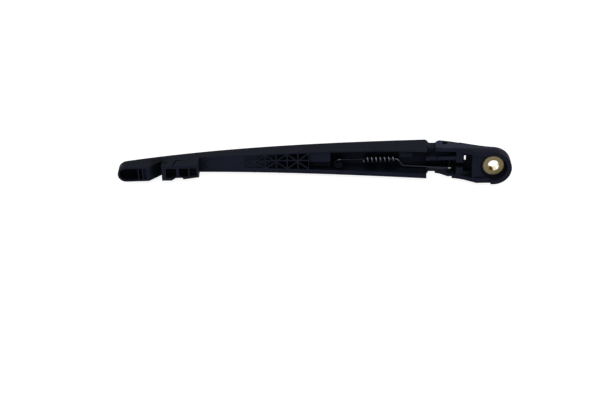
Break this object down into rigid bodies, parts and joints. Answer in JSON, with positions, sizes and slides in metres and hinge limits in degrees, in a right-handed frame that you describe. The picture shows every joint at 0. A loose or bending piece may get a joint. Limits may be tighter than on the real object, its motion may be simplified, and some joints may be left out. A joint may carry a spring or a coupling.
{
  "type": "rear wiper arm",
  "caption": "Slim moulded wiper arm: spring-loaded channel arm hinged to a pivot head with a brass spindle bush, and a hook jaw for a blade at its tip.",
  "frame": {"origin": "on the spindle axis, at the glass-side face of the bush", "axes": "+X from the blade end to the head, -Y towards the glass along the spindle axis, +Z across the arm"},
  "size_m": [0.3, 0.0306, 0.0268],
  "materials": {
    "black_plastic": "fine satin grain",
    "brass": "dull turned",
    "pin_steel": "dark oiled",
    "spring_steel": "drawn wire"
  },
  "bodies": {
    "pivot": {"head": "black_plastic", "spindle_bush": "brass", "hinge_pin": "pin_steel", "link_pin": "pin_steel"},
    "arm": {"arm": "black_plastic", "tension_spring": "spring_steel"},
    "link": {"spring_link": "spring_steel"}
  },
  "joints": [
    {"name": "arm_hinge", "type": "hinge", "parent": "pivot", "child": "arm", "pos_m": [-0.036, 0.015, 0], "axis": [0, 0, -1], "range_deg": [0, 50], "stiffness_Nm_per_rad": 0.4, "springref_deg": -114.59},
    {"name": "link_swing", "type": "hinge", "parent": "pivot", "child": "link", "pos_m": [-0.0325, 0.0092, 0], "axis": [0, 0, -1], "range_deg": [0, 47], "deforming": ["tension_spring"]}
  ],
  "couplings": [
    {"joint": "link_swing", "follows": "arm_hinge", "ratio": 0.935}
  ]
}
